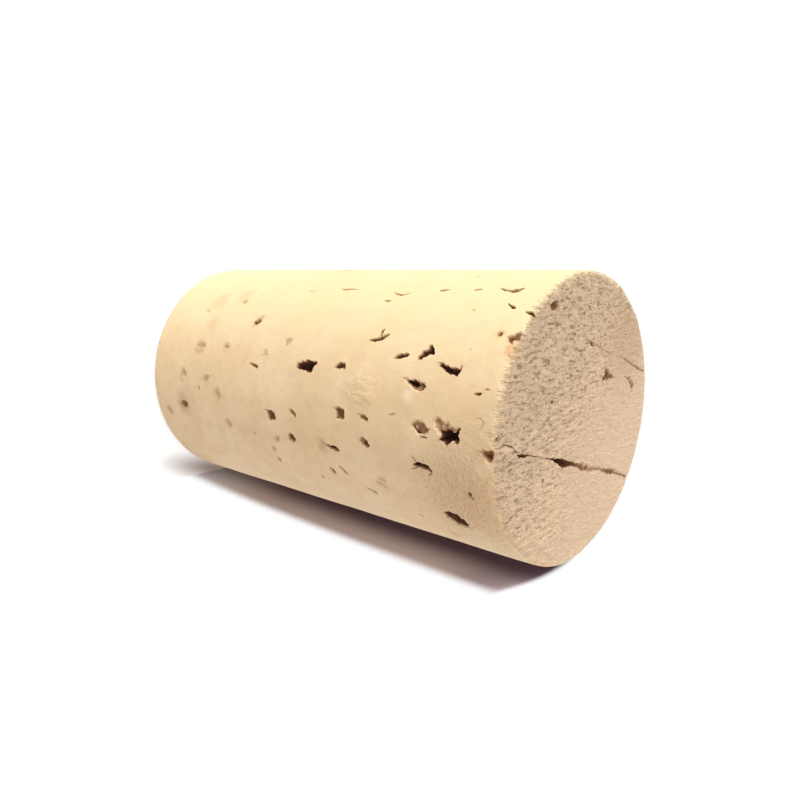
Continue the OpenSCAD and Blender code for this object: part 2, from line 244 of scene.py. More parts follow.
# Cracks in the wall: (drop, bearing, depth, points as (up the wall, round it, width))
WALL_CRACKS = [
    # A cross of short cracks
    (12.8, -34, 0.6, [
        (-0.95, 0.4, 0.12), (-0.4, 0.35, 0.34), (0.1, 0.2, 0.45), (0.5, 0.0, 0.42), (1.0, -0.25, 0.15),
    ]),
    (12.7, -35, 0.6, [(0.1, 0.35, 0.2), (-0.05, 0.0, 0.32), (-0.1, -0.35, 0.36), (0.1, -0.55, 0.15)]),
    # Dark edges and floors in the shallow pores
    (0.45, 3.4, 0.7, [(-0.35, 0.1, 0.15), (-0.05, 0.2, 0.4), (0.15, 0.25, 0.1)]),
    (6.7, -2, 0.8, [(-0.8, -0.1, 0.1), (-0.5, 0.25, 0.25), (-0.2, 0.5, 0.3), (0.05, 0.55, 0.12)]),
    (6.7, -2.4, 0.6, [(0.0, 0.8, 0.05), (0.4, 0.85, 0.2), (0.7, 0.9, 0.1)]),
    (8, -17, 0.8, [(0.75, -0.1, 0.08), (1.05, 0.0, 0.18), (1.05, 0.3, 0.2), (0.7, 0.45, 0.1)]),
    # Two pinkish strokes under the split's end
    (1.9, -17, 0.5, [(-0.45, 0.12, 0.06), (-0.2, 0.1, 0.2), (0.1, 0.05, 0.26), (0.25, 0.0, 0.08)]),
    (1.9, -17.5, 0.25, [(0.3, -0.15, 0.06), (0.55, -0.25, 0.25), (0.9, -0.2, 0.08)]),
    # A smile near the rim and the slanted nick beside it
    (3.4, -61, 1.1, [
        (-1.05, -0.3, 0.1), (-0.5, 0.0, 0.3), (-0.1, 0.05, 0.2), (0.35, 0.08, 0.65), (0.95, -0.35, 0.3),
    ]),
    (2.2, -52, 0.7, [(-0.5, -0.3, 0.08), (-0.1, 0.0, 0.22), (0.2, 0.2, 0.32), (0.4, 0.28, 0.08)]),
    (0.1, -49, 0.6, [(-0.75, -0.1, 0.18), (-0.2, 0.0, 0.4), (0.35, 0.1, 0.32), (0.9, 0.2, 0.14)]),
    # Strokes along the bright side
    (19.9, -59, 0.42, [(-1.1, 0.0, 0.1), (-0.4, 0.05, 0.32), (0.3, -0.02, 0.25), (1.1, 0.05, 0.08)]),
    (13.4, -57, 0.42, [
        (-1.0, -0.2, 0.06), (-0.4, 0.1, 0.2), (0.1, 0.28, 0.3), (0.6, -0.02, 0.15), (1.0, -0.1, 0.05),
    ]),
    (14.3, -52, 0.4, [(-0.35, 0.0, 0.15), (0.1, 0.02, 0.32), (0.4, -0.05, 0.1)]),
    (9.5, -60, 0.6, [(-0.45, 0.0, 0.1), (-0.05, 0.05, 0.46), (0.3, -0.05, 0.2), (0.6, -0.1, 0.05)]),
    (6.3, -61, 0.5, [(-0.4, 0.02, 0.1), (0.0, 0.0, 0.38), (0.4, 0.0, 0.1)]),
    (24.5, -57, 0.25, [(-0.6, 0.0, 0.06), (0.0, 0.06, 0.18), (0.6, -0.02, 0.05)]),
    # A ragged slit low on the front, with branches
    (6.6, 14, 0.8, [
        (-0.95, -0.05, 0.15), (-0.5, -0.2, 0.42), (0.0, -0.15, 0.5), (0.55, -0.1, 0.42), (0.9, 0.15, 0.3),
    ]),
    (6.7, 13.6, 0.4, [(-1.0, -0.85, 0.05), (-0.7, -0.55, 0.16), (-0.4, -0.25, 0.2)]),
    (6.5, 14.2, 0.4, [(-1.3, 0.25, 0.05), (-0.9, 0.15, 0.14), (-0.45, -0.1, 0.15)]),
    (6.6, 14.5, 0.4, [(0.1, -0.8, 0.04), (0.25, -0.45, 0.12), (0.2, -0.2, 0.15)]),
    (6.3, 14.8, 0.4, [(0.1, 0.4, 0.05), (0.4, 0.2, 0.16), (0.6, 0.05, 0.15)]),
    (16.5, 15, 0.6, [
        (-0.8, -0.25, 0.2), (-0.35, -0.05, 0.42), (0.1, -0.03, 0.5), (0.5, 0.05, 0.42), (0.75, 0.1, 0.2),
    ]),
    (17.6, 13.6, 0.25, [(-0.4, -0.2, 0.15), (0.0, 0.0, 0.3), (0.3, 0.2, 0.15)]),
    # Short strokes below it
    (17.4, 27, 0.5, [(-0.35, -0.28, 0.3), (-0.05, 0.0, 0.6), (0.2, 0.28, 0.35)]),
    (15.9, 25.2, 0.4, [(-0.42, -0.38, 0.25), (0.0, 0.05, 0.42), (0.32, 0.4, 0.25)]),
    (13.3, 32.8, 0.36, [(-0.55, -0.15, 0.2), (0.0, 0.0, 0.34), (0.4, 0.14, 0.5), (0.65, 0.26, 0.25)]),
    (11.7, 26.4, 0.28, [(-0.45, 0.0, 0.2), (0.1, 0.25, 0.42), (0.55, 0.4, 0.2)]),
    (11.6, 24.4, 0.22, [(-0.2, -0.1, 0.15), (0.2, 0.0, 0.3), (0.6, 0.1, 0.15)]),
    # A shallow arc near the rim
    (1.5, -7, 0.24, [
        (-0.25, -0.35, 0.05), (0.1, -0.3, 0.14), (0.35, 0.0, 0.2), (0.25, 0.35, 0.12), (-0.05, 0.45, 0.05),
    ]),
    # Slits that the channels leave where they run along the wall
    (27.3, -15.3, 0.32, [(-0.75, -0.15, 0.22), (-0.3, -0.05, 0.46), (0.2, 0.06, 0.5), (0.6, 0.2, 0.25)]),
    (29, -36.3, 0.42, [(-0.5, 0.12, 0.3), (0.0, 0.0, 0.75), (0.45, -0.15, 0.35)]),
    (10.5, 84, 0.6, [
        (0.5, -1.1, 0.08), (0.2, -0.5, 0.3), (-0.15, 0, 0.55), (-0.1, 0.5, 0.25), (-0.4, 0.9, 0.08),
    ]),
    (17.8, 97, 0.5, [(-0.3, -0.7, 0.08), (0.05, -0.3, 0.4), (0.15, 0.2, 0.5), (0.4, 0.7, 0.1)]),
    (27.5, 88, 0.6, [
        (0.7, -0.9, 0.1), (0.3, -0.3, 0.3), (0.15, 0.1, 0.6), (-0.2, 0.5, 0.3), (-0.9, 0.8, 0.08),
    ]),
    (35.2, 100, 0.5, [(0.35, -0.6, 0.1), (-0.1, 0, 0.5), (-0.2, 0.6, 0.1)]),
    (14.2, 268, 0.5, [(-0.6, -0.8, 0.08), (-0.1, -0.3, 0.35), (0.0, 0.2, 0.5), (0.5, 0.8, 0.1)]),
    (24.9, 277, 0.6, [
        (0.4, -1.0, 0.08), (0.15, -0.5, 0.4), (0.1, 0, 0.5), (-0.3, 0.4, 0.3), (-0.6, 0.9, 0.08),
    ]),
    (33.6, 263, 0.5, [(0.1, -0.6, 0.1), (0.0, 0, 0.5), (0.35, 0.6, 0.1)]),
]
# The split's points from the front to the back: (x, y, width, depth)
SPLIT = [
    (1.15, -8.9, 0.12, 0.25), (1.3, -8.4, 0.45, 0.5), (1.45, -7.8, 0.4, 0.5),
    (1.5, -7.2, 0.16, 0.3), (1.8, -5.9, 0.08, 0.22), (2.1, -4.7, 0.1, 0.25),
    (2.4, -3.6, 0.24, 0.6), (2.75, -2.7, 0.66, 1.1), (2.95, -2.1, 0.82, 1.3),
    (3.15, -1.2, 0.55, 0.7), (3.55, 0.3, 0.45, 0.34), (3.95, 1.2, 0.85, 0.34),
    (4.25, 2.3, 0.8, 0.3), (4.6, 4.1, 0.55, 0.24), (5.2, 6.3, 0.7, 0.36),
    (5.45, 7.2, 0.5, 0.28), (6.25, 9.4, 0.4, 0.26), (6.95, 11.2, 0.7, 0.5), (7.35, 12.3, 0.9, 0.7),
]
# A finer crack beside it
HAIRLINE = [
    (-5.1, 5.0, 0.1, 0.1), (-4.75, 6.4, 0.2, 0.15), (-4.2, 8.0, 0.3, 0.24),
    (-3.5, 9.9, 0.32, 0.26), (-2.9, 11.8, 0.25, 0.24),
]
# Shallow marks in the top end: (depth, points as (x, y, width))
TOP_CRACKS = [
    # The lifted skin beside the notch in the rim
    (0.25, [(0.3, -11.3, 0.1), (0.1, -10.6, 0.22), (0.4, -9.6, 0.18), (0.95, -8.9, 0.12)]),
    # A shallow groove
    (0.17, [(-6.5, 0.6, 0.15), (-5.95, 2.1, 0.3), (-5.45, 3.5, 0.3), (-5.15, 4.6, 0.1)]),
]
# Pits in the top end: (x, y, depth, outline)
TOP_PITS = [
    (-3.45, 4.1, 0.42, "fang"),
    (-9.4, -5, 0.4, "kite"),
    (-6.3, 1, 0.4, "crumb"),
    (-2.15, 8.4, 0.34, "tick"),
]
# Pits in the foot, in the same way
FOOT_PITS = [
    (3.1, -4.2, 0.7, "clod"),
    (-4.6, 3.5, 0.5, "flake"),
]
# Stains in the wall's skin, and painted highlights beside pores: (drop, bearing, radius, strength, tone)
STAINS = [
    (0.25, -33, 0.9, 0.9, "stain"),
    (0.5, 5, 1.6, 0.35, "stain"),
    (3.5, 20, 5.5, 0.5, "shade"),
    (1.1, 9, 1.0, 0.7, "pale"),
    # Painted highlights: pale patches where a pore's lower lip would catch the light
    (0.45, 7.5, 0.7, 0.8, "lip"),
    (8.1, -12.4, 0.9, 0.5, "lip"),
    (17.9, 14.5, 1.1, 0.5, "freckle"),
    (11.5, 25.5, 1.0, 0.4, "freckle"),
    (6.2, 49.8, 0.9, 0.4, "freckle"),
    (39.4, 10, 1.7, 0.5, "freckle"),
    (1.9, -39, 0.6, 0.5, "stain"),
    (37, -47, 1.8, 0.35, "stain"),
    (33.5, -52, 1.5, 0.3, "stain"),
    (38.5, 8, 2.6, 0.4, "shade"),
    (36, -33, 1.4, 0.3, "stain"),
    (0.5, 27, 5.5, 0.22, "stain"),
    (1.0, -4, 4.0, 0.25, "shade"),
]


# ---------------------------------------------------------------- helpers

# Kinds of node, and settings of nodes, that are used often
MATH = "ShaderNodeMath"
VECTOR_MATH = "ShaderNodeVectorMath"
MAP_RANGE = "ShaderNodeMapRange"
MAPPING = "ShaderNodeMapping"
MIX = "ShaderNodeMix"
MIX_SHADER = "ShaderNodeMixShader"
NOISE = "ShaderNodeTexNoise"
RANDOM = "FunctionNodeRandomValue"
SEPARATE = "ShaderNodeSeparateXYZ"
SMOOTH = {"interpolation_type": "SMOOTHSTEP"}
SMOOTHER = {"interpolation_type": "SMOOTHERSTEP"}
COLOURS = {"data_type": "RGBA"}


def linear(hex_code):
    """The linear colour of an sRGB hex code."""
    parts = [int(hex_code[i : i + 2], 16) / 255 for i in (0, 2, 4)]
    return tuple(c / 12.92 if c <= 0.04045 else ((c + 0.055) / 1.055) ** 2.4 for c in parts) + (1.0,)


def add_node(tree, kind, *values, **settings):
    """Adds a node with its settings, and fills the inputs that it then uses, in their order.

    A value is a constant, a socket, or a node, which stands for the first output that it uses.
    None leaves an input as it is.
    """
    made = tree.nodes.new(kind)
    for name, setting in settings.items():
        setattr(made, name, setting)
    in_use = [socket for socket in made.inputs if socket.enabled]
    for socket, value in zip(in_use, values):
        if isinstance(value, bpy.types.Node):
            value = next(output for output in value.outputs if output.enabled)
        if isinstance(value, bpy.types.NodeSocket):
            tree.links.new(value, socket)
        elif value is not None:
            socket.default_value = value
    return made


def mesh_from(name, verts, faces):
    """A mesh from points in mm."""
    mesh = bpy.data.meshes.new(name)
    mesh.from_pydata([(x * MM, y * MM, z * MM) for x, y, z in verts], [], faces)
    mesh.validate()
    return mesh


def add_object(name, data):
    """A new object in the scene."""
    made = bpy.data.objects.new(name, data)
    bpy.context.scene.collection.objects.link(made)
    return made


def keep_result(obj):
    """Makes what the object's modifiers give its own mesh, and takes them off."""
    graph = bpy.context.evaluated_depsgraph_get()
    graph.update()
    mesh = bpy.data.meshes.new_from_object(obj.evaluated_get(graph))
    obj.modifiers.clear()
    old = obj.data
    obj.data = mesh
    bpy.data.meshes.remove(old)
    mesh.name = obj.name


def rough(x, y, z, size, seed):
    """Smooth noise from about -1 to 1, with features of that size in mm."""
    return noise.noise(Vector((x / size + seed, y / size - seed, z / size + 2 * seed)))


# ---------------------------------------------------------------- the plug's skin


def skin_depth(x, y, z, nr, nz, sizes):
    """How far, in mm, the real skin lies under the ideal plug, where the normal is nr outwards and nz up."""
    least, fine = 0.03, 0.012
    depth = least + sizes.waviness / MM * (0.5 + 0.5 * rough(x, y, z, 6.0, 3.1))
    depth += fine * (1 + rough(x, y, z, 1.4, 7.7))
    if nz > 0.3:
        # The cut end is torn into furrows along Y, finer towards the back
        strength = sizes.furrow_depth / MM * nz * (1.0 - 0.45 * min(1, max(0, (y + 2) / 10)))
        wander = 0.5 * rough(x, y, 0, 2.5, 1.7)
        furrow = noise.noise(Vector(((x + wander) / 0.34, y / 1.3, 0.3)))
        grain = noise.noise(Vector((x / 0.22, y / 0.3, 5.3)))
        depth += strength * max(0, 0.55 + 0.9 * furrow + 0.5 * grain)
    elif nz < -0.3:
        # The foot is smoother
        depth += 0.3 * sizes.furrow_depth / MM * -nz * (1 + rough(x, y, 0, 0.8, 2.2))
    worn_band, wear = 2.5, 0.1
    if nr > 0.2 and z > LENGTH - worn_band:
        # The top rim is worn unevenly
        near = 1 - (LENGTH - z) / worn_band
        depth += wear * near * near * max(0, 0.4 + rough(x, y, 0, 1.8, 9.4) + 0.5 * rough(x, y, z, 0.5, 4.4))
    return depth


def end_rings(rounding, step):
    """Rings from the middle of an end to the wall: (radius, how far under the end, normal out, normal up)."""
    flat = RADIUS - rounding
    count = round(flat / step)
    rings = [(flat * i / count, 0, 0, 1) for i in range(1, count)]
    arc_steps = 6
    for i in range(arc_steps + 1):
        a = math.radians(90 * i / arc_steps)
        out, up = math.sin(a), math.cos(a)
        rings.append((flat + rounding * out, rounding - rounding * up, out, up))
    return rings


def plug_profile(step_wall, step_end):
    """Rings from the middle of the top end to the middle of the foot: (radius, z, normal out, normal up)."""
    top = [(r, LENGTH - under, out, up) for r, under, out, up in end_rings(TOP_ROUND, step_end)]
    tall = LENGTH - TOP_ROUND - FOOT_ROUND
    count = round(tall / step_wall)
    wall = [(RADIUS, LENGTH - TOP_ROUND - tall * i / count, 1, 0) for i in range(1, count)]
    foot = [(r, under, out, -up) for r, under, out, up in end_rings(FOOT_ROUND, 2 * step_wall)]
    return top + wall + foot[::-1]


def plug_mesh(sizes):
    """The punched plug before its pores: a closed skin, with twice as many points round its top end."""
    fine, coarse = sizes.end_segments, sizes.end_segments // 2
    verts, faces, starts = [], [], []
    for r, z, nr, nz in plug_profile(sizes.wall_step / MM, sizes.end_step / MM):
        steps = fine if z > LENGTH - TOP_ROUND - 0.01 else coarse
        starts.append((len(verts), steps))
        for k in range(steps):
            a = 2 * math.pi * k / steps
            dx, dy = math.cos(a), math.sin(a)
            d = skin_depth(r * dx, r * dy, z, nr, nz, sizes)
            verts.append(((r - d * nr) * dx, (r - d * nr) * dy, z - d * nz))
    for (a, na), (b, nb) in zip(starts, starts[1:]):
        if na == nb:
            faces += [(a + k, b + k, b + (k + 1) % nb, a + (k + 1) % na) for k in range(na)]
            continue
        for k in range(nb):
            a0, a1, a2 = a + 2 * k, a + 2 * k + 1, a + (2 * k + 2) % na
            b0, b1 = b + k, b + (k + 1) % nb
            faces += [(a0, b0, a1), (a1, b0, b1), (a1, b1, a2)]
    for (first, steps), z, turn in ((starts[0], LENGTH, 1), (starts[-1], 0, -1)):
        tip = len(verts)
        verts.append((0, 0, z - turn * skin_depth(0, 0, z, 0, turn, sizes)))
        for k in range(steps):
            a, b = first + k, first + (k + 1) % steps
            faces.append((tip, a, b) if turn > 0 else (tip, b, a))
    return mesh_from("plug_skin", verts, faces)


# ---------------------------------------------------------------- cutters


def on_wall(drop, bearing, tilt=0.0):
    """Places a point given as (up the wall, round the wall, out of the wall)."""
    turn = math.radians(tilt)

    def place(u, v, w):
        up = u * math.cos(turn) - v * math.sin(turn)
        around = u * math.sin(turn) + v * math.cos(turn)
        a = math.radians(bearing) + around / RADIUS
        r = RADIUS + w
        return (r * math.sin(a), -r * math.cos(a), LENGTH - drop + up)

    return place


def on_top(x, y):
    """Places a point given as (along X, along Y, out of the top end)."""
    return lambda u, v, w: (x + u, y + v, LENGTH + w)


def on_foot(x, y):
    """Places a point given as (along X, against Y, out of the foot)."""
    return lambda u, v, w: (x + u, y - v, -w)


class Cutters:
    """Closed cutters that are taken out of the plug together, so they don't overlap."""

    def __init__(self):
        self.verts = []
        self.faces = []

    def add(self, verts, faces):
        """Adds one closed cutter, turned so that its faces point outwards."""
        volume = 0
        for f in faces:
            for b, c in zip(f[1:], f[2:]):
                volume += Vector(verts[f[0]]).dot(Vector(verts[b]).cross(Vector(verts[c])))
        start, way = len(self.verts), 1 if volume > 0 else -1
        self.verts += verts
        self.faces += [tuple(start + i for i in f[::way]) for f in faces]


def sides(points):
    """The sides of a closed outline, as pairs of points."""
    return zip(points, points[1:] + points[:1])


def ragged(outline, step, wobble, seed):
    """An outline with its sides cut into short steps and torn a little."""
    points = []
    for (ax, ay), (bx, by) in sides(outline):
        length = math.hypot(bx - ax, by - ay)
        count = max(1, round(length / step))
        for k in range(count):
            t = k / count
            x, y = ax + (bx - ax) * t, ay + (by - ay) * t
            out = wobble * (rough(x, y, 0, 0.4, seed) + 0.9 * rough(x, y, 9, 0.17, seed))
            side = wobble * rough(x, y, 5, 0.3, seed)
            nx, ny = (by - ay) / length, (ax - bx) / length
            points.append((x + nx * out + ny * side, y + ny * out - nx * side))
    return points


def distance_to(outline, x, y):
    """How far a place lies from a closed outline."""
    best = math.inf
    for (ax, ay), (bx, by) in sides(outline):
        ex, ey = bx - ax, by - ay
        t = max(0, min(1, ((x - ax) * ex + (y - ay) * ey) / (ex * ex + ey * ey + 1e-12)))
        best = min(best, math.hypot(x - ax - ex * t, y - ay - ey * t))
    return best


def inside(outline, x, y):
    """True if a place lies inside a closed outline."""
    odd = False
    for (ax, ay), (bx, by) in sides(outline):
        if (ay > y) != (by > y) and x < ax + (y - ay) * (bx - ax) / (by - ay):
            odd = not odd
    return odd


def fill(ring, step, seed):
    """Strews points inside an outline and joins them up: (points, triangles)."""
    draw = random.Random(int(seed * 100))
    xs, ys = zip(*ring)
    strewn = []
    x = min(xs)
    while x < max(xs):
        y = min(ys)
        while y < max(ys):
            px, py = x + draw.uniform(-0.3, 0.3) * step, y + draw.uniform(-0.3, 0.3) * step
            if inside(ring, px, py) and distance_to(ring, px, py) > 0.45 * step:
                strewn.append((px, py))
            y += step
        x += step
    # 1 keeps only what lies inside the outline
    filled = delaunay_2d_cdt([Vector(p) for p in ring + strewn], [], [list(range(len(ring)))], 1, 1e-5)
    return filled[0], filled[2]


def add_pit(cutters, outline, depth, place, seed, sizes):
    """A pore with a torn, worn mouth, steep walls and a rough floor."""
    narrow = min(max(line) - min(line) for line in zip(*outline))
    step = min(sizes.pore_step / MM, 0.2 * narrow)
    ring = ragged(outline, step, min(sizes.raggedness / MM, 0.16 * narrow), seed)
    flat, tris = fill(ring, step, seed)
    # The rim's sides belong to one triangle only
    pairs = dict.fromkeys(pair for tri in tris for pair in sides(tri))
    edge = [(a, b) for a, b in pairs if (b, a) not in pairs]
    outward = {i: [0, 0] for pair in edge for i in pair}
    for a, b in edge:
        du, dv = flat[b][0] - flat[a][0], flat[b][1] - flat[a][1]
        for i in (a, b):
            outward[i][0] += dv
            outward[i][1] -= du
    low, high, lip = [], [], {}
    worn = min(sizes.lip / MM, 0.2 * narrow)
    for i, (x, y) in enumerate(flat):
        if i in outward:
            w = -min(0.2, 0.45 * depth)
            length = math.hypot(*outward[i]) or 1
            wide = worn * (0.6 + 0.5 * rough(x, y, 6, 0.4, seed))
            x2, y2 = x + wide * outward[i][0] / length, y + wide * outward[i][1] / length
            lip[i] = place(x2, y2, 0.0)
            high.append(place(x2, y2, PROUD))
        else:
            away = distance_to(ring, x, y)
            fall = 1 - math.exp(-away / (0.1 + 0.05 * depth))
            w = -depth * (0.3 + 0.7 * fall) * (1 + 0.3 * rough(x, y, 3, 0.3, seed))
            high.append(place(x, y, PROUD))
        low.append(place(x, y, w))
    n = len(flat)
    lips = {i: 2 * n + k for k, i in enumerate(lip)}
    faces = [tuple(reversed(t)) for t in tris]
    faces += [tuple(i + n for i in t) for t in tris]
    for a, b in edge:
        faces += [(a, b, lips[b], lips[a]), (lips[a], lips[b], b + n, a + n)]
    cutters.add(low + high + list(lip.values()), faces)


def add_crack(cutters, points, place, seed, step=0.15, wobble=0.05):
    """A steep crack, sharp at its bottom, through its points: (u, v, width, depth)."""
    path = []
    for p, q in zip(points, points[1:]):
        count = max(1, round(math.hypot(q[0] - p[0], q[1] - p[1]) / step))
        path += [[a + (b - a) * k / count for a, b in zip(p, q)] for k in range(count)]
    path.append(list(points[-1]))
    upright, least = 0.04, 0.02
    verts = []
    for i, (u, v, width, depth) in enumerate(path):
        before, after = path[max(0, i - 2)], path[min(len(path) - 1, i + 2)]
        du, dv = after[0] - before[0], after[1] - before[1]
        length = math.hypot(du, dv)
        nu, nv = -dv / length, du / length
        swing = wobble * rough(u, v, 2, 0.5, seed)
        left = width / 2 * (1 + 0.5 * rough(u, v, 5, 0.3, seed)) + wobble * rough(u, v, 7, 0.22, seed)
        right = width / 2 * (1 + 0.5 * rough(u, v, 8, 0.3, seed)) + wobble * rough(u, v, 11, 0.22, seed)
        left, right = max(left, least), max(right, least)
        deep = depth * (1 + 0.3 * rough(u, v, 4, 0.4, seed))
        lean = 0.25 * width * rough(u, v, 3, 0.5, seed)
        section = [
            (-left, PROUD), (-left, -upright), (-0.7 * left, -0.6 * deep), (lean, -deep),
            (0.7 * right, -0.6 * deep), (right, -upright), (right, PROUD),
        ]
        verts += [place(u + nu * (swing + aside), v + nv * (swing + aside), w) for aside, w in section]
    n = len(section)
    end = len(verts) - n
    faces = [
        (i + k, i + n + k, i + n + (k + 1) % n, i + (k + 1) % n)
        for i in range(0, end, n) for k in range(n)
    ]
    caps = [(0, 1, 5, 6), (1, 2, 4, 5), (2, 3, 4)]
    faces += caps + [tuple(end + i for i in reversed(cap)) for cap in caps]
    cutters.add(verts, faces)


def cut(plug, cutters, name):
    """Takes the cutters out of the plug."""
    tool = add_object(name, mesh_from(name, cutters.verts, cutters.faces))
    taken = plug.modifiers.new("Cut", "BOOLEAN")
    taken.operation = "DIFFERENCE"
    taken.solver = "MANIFOLD"
    taken.object = tool
    keep_result(plug)
    bpy.data.objects.remove(tool)


def drop_crumbs(mesh):
    """Deletes the specks that are cut loose, which are all but the largest island."""
    work = bmesh.new()
    work.from_mesh(mesh)
    left, islands = set(work.verts), []
    while left:
        island, front = set(), {left.pop()}
        while front:
            island |= front
            front = {edge.other_vert(vert) for vert in front for edge in vert.link_edges} - island
        left -= island
        islands.append(island)
    for island in sorted(islands, key=len)[:-1]:
        bmesh.ops.delete(work, geom=list(island), context="VERTS")
    work.to_mesh(mesh)
    work.free()


def oval(length, width):
    """A rough oval mouth of that length up the wall and width round it."""
    angles = [math.radians(60 * i) for i in range(6)]
    return [(length / 2 * math.cos(a), width / 2 * math.sin(a)) for a in angles]


def cutter_groups(sizes):
    """The named pores and cracks, in groups whose cutters stay clear of each other."""
    groups = {name: Cutters() for name in ("pores", "floors", "small", "cracks", "branches")}
    # Sets of pits: (rows, group, where they are put, first seed, step to the next seed)
    for rows, group, put_on, seed, seed_step in (
        (FRONT_PORES + BACK_PORES, "pores", on_wall, 1.3, 2.7),
        (DEEP_PORES + RIM_PORES, "floors", on_wall, 71.3, 2.7),
        (TOP_PITS, "pores", on_top, 83.1, 1.9),
        (FOOT_PITS, "pores", on_foot, 95.7, 1.9),
    ):
        for i, (a, b, depth, mouth) in enumerate(rows):
            add_pit(groups[group], MOUTHS[mouth], depth, put_on(a, b), seed + seed_step * i, sizes)
    for i, (drop, bearing, length, width, depth) in enumerate(SMALL_PORES):
        place = on_wall(drop, bearing, 40 * rough(drop, bearing, 0, 7.0, 0.4))
        add_pit(groups["small"], oval(length, width), depth, place, 103.3 + 2.3 * i, sizes)
    # A crack this close, in mm and degrees, to the one before it is its branch, and is cut after it
    branch_drop, branch_bearing = 1.2, 4
    last = (0, 180)
    for i, (drop, bearing, depth, points) in enumerate(WALL_CRACKS):
        # Its narrow ends are shallower
        crack = [(u, v, width, depth * (0.35 + 0.65 * min(1, width / 0.25))) for u, v, width in points]
        branch = abs(drop - last[0]) < branch_drop and abs(bearing - last[1]) < branch_bearing
        add_crack(groups["branches" if branch else "cracks"], crack, on_wall(drop, bearing), 31.9 + 1.7 * i)
        last = (drop, bearing)
    for i, (depth, points) in enumerate(TOP_CRACKS):
        crack = [(x, y, width, depth) for x, y, width in points]
        add_crack(groups["branches"], crack, on_top(0, 0), 12.5 + i, 0.18, 0.06)
    add_crack(groups["cracks"], SPLIT, on_top(0, 0), 5.5, 0.16, 0.1)
    add_crack(groups["cracks"], HAIRLINE, on_top(0, 0), 8.5, 0.18, 0.04)
    return groups


# ---------------------------------------------------------------- small pits by Geometry Nodes


def pit_tree():
    """Geometry Nodes that sow small pits over the plug and cut them out."""
    tree = bpy.data.node_groups.new("SmallPits", "GeometryNodeTree")
    face = tree.interface
    face.new_socket("Geometry", in_out="INPUT", socket_type="NodeSocketGeometry")
    for name, kind, subtype, default in (
        ("Pits per square metre", "NodeSocketFloat", "NONE", 60000.0),
        ("Smallest spacing", "NodeSocketFloat", "DISTANCE", 0.001),
        ("Width", "NodeSocketFloat", "DISTANCE", 0.0003),
        ("Depth", "NodeSocketFloat", "DISTANCE", 0.0002),
        ("Seed", "NodeSocketInt", "NONE", 7),
    ):
        socket = face.new_socket(name, in_out="INPUT", socket_type=kind)
        socket.subtype = subtype
        socket.default_value = default
    face.new_socket("Material", in_out="INPUT", socket_type="NodeSocketMaterial")
    face.new_socket("Geometry", in_out="OUTPUT", socket_type="NodeSocketGeometry")
    node = partial(add_node, tree)
    given = node("NodeGroupInput").outputs
    # Channels ran along Y, so the back shows more open ends than the sides, and the front has its own
    facing = node(SEPARATE, node("GeometryNodeInputNormal")).outputs["Y"]
    share = node(MAP_RANGE, facing, -0.4, 0.7, 0.12, 1.0)
    sown = node(
        "GeometryNodeDistributePointsOnFaces", given["Geometry"], None, given["Smallest spacing"],
        given["Pits per square metre"], share, given["Seed"], distribute_method="POISSON",
    )
    # Each pit starts as a ball, stretched by half its length, width and depth
    wide, long, deep = (
        node(RANDOM, low, high, None, seed, data_type="FLOAT")
        for low, high, seed in ((0.4, 1.3, 3), (0.8, 2.2, 4), (0.4, 1.4, 5))
    )
    across = node(MATH, wide, given["Width"], operation="MULTIPLY")
    along = node(MATH, long, across, operation="MULTIPLY")
    down = node(MATH, deep, given["Depth"], operation="MULTIPLY")
    turn = node(RANDOM, (0.0, 0.0, 0.0), (0.0, 0.0, 6.283), None, 6, data_type="FLOAT_VECTOR")
    spin = node("FunctionNodeRotateRotation", sown.outputs["Rotation"], turn, rotation_space="LOCAL")
    ball = node("GeometryNodeMeshIcoSphere", 1.0, 2)
    size = node("ShaderNodeCombineXYZ", along, across, down)
    balls = node("GeometryNodeInstanceOnPoints", sown, None, ball, None, None, spin, size)
    # Each is pushed out of shape by lumps about as wide as itself
    lumps = node(NOISE, None, 4200.0).outputs["Color"]
    push = node(VECTOR_MATH, lumps, (0.5, 0.5, 0.5), operation="SUBTRACT")
    reach = node(MATH, given["Width"], 1.7, operation="MULTIPLY")
    shift = node(VECTOR_MATH, push, reach, operation="SCALE")
    lumpy = node("GeometryNodeSetPosition", node("GeometryNodeRealizeInstances", balls), None, None, shift)
    pitted = node(
        "GeometryNodeMeshBoolean", given["Geometry"], lumpy, operation="DIFFERENCE", solver="MANIFOLD"
    )
    real = node("GeometryNodeRealizeInstances", pitted)
    node("NodeGroupOutput", node("GeometryNodeSetMaterial", real, None, given["Material"]))
    return tree


def run_tree(obj, tree, values):
    """Runs a Geometry Nodes tree on an object and keeps the result as its mesh."""
    modifier = obj.modifiers.new(tree.name, "NODES")
    modifier.node_group = tree
    for item in tree.interface.items_tree:
        if item.item_type == "SOCKET" and item.in_out == "INPUT" and item.name in values:
            modifier[item.identifier] = values[item.name]
    keep_result(obj)


# ---------------------------------------------------------------- finish


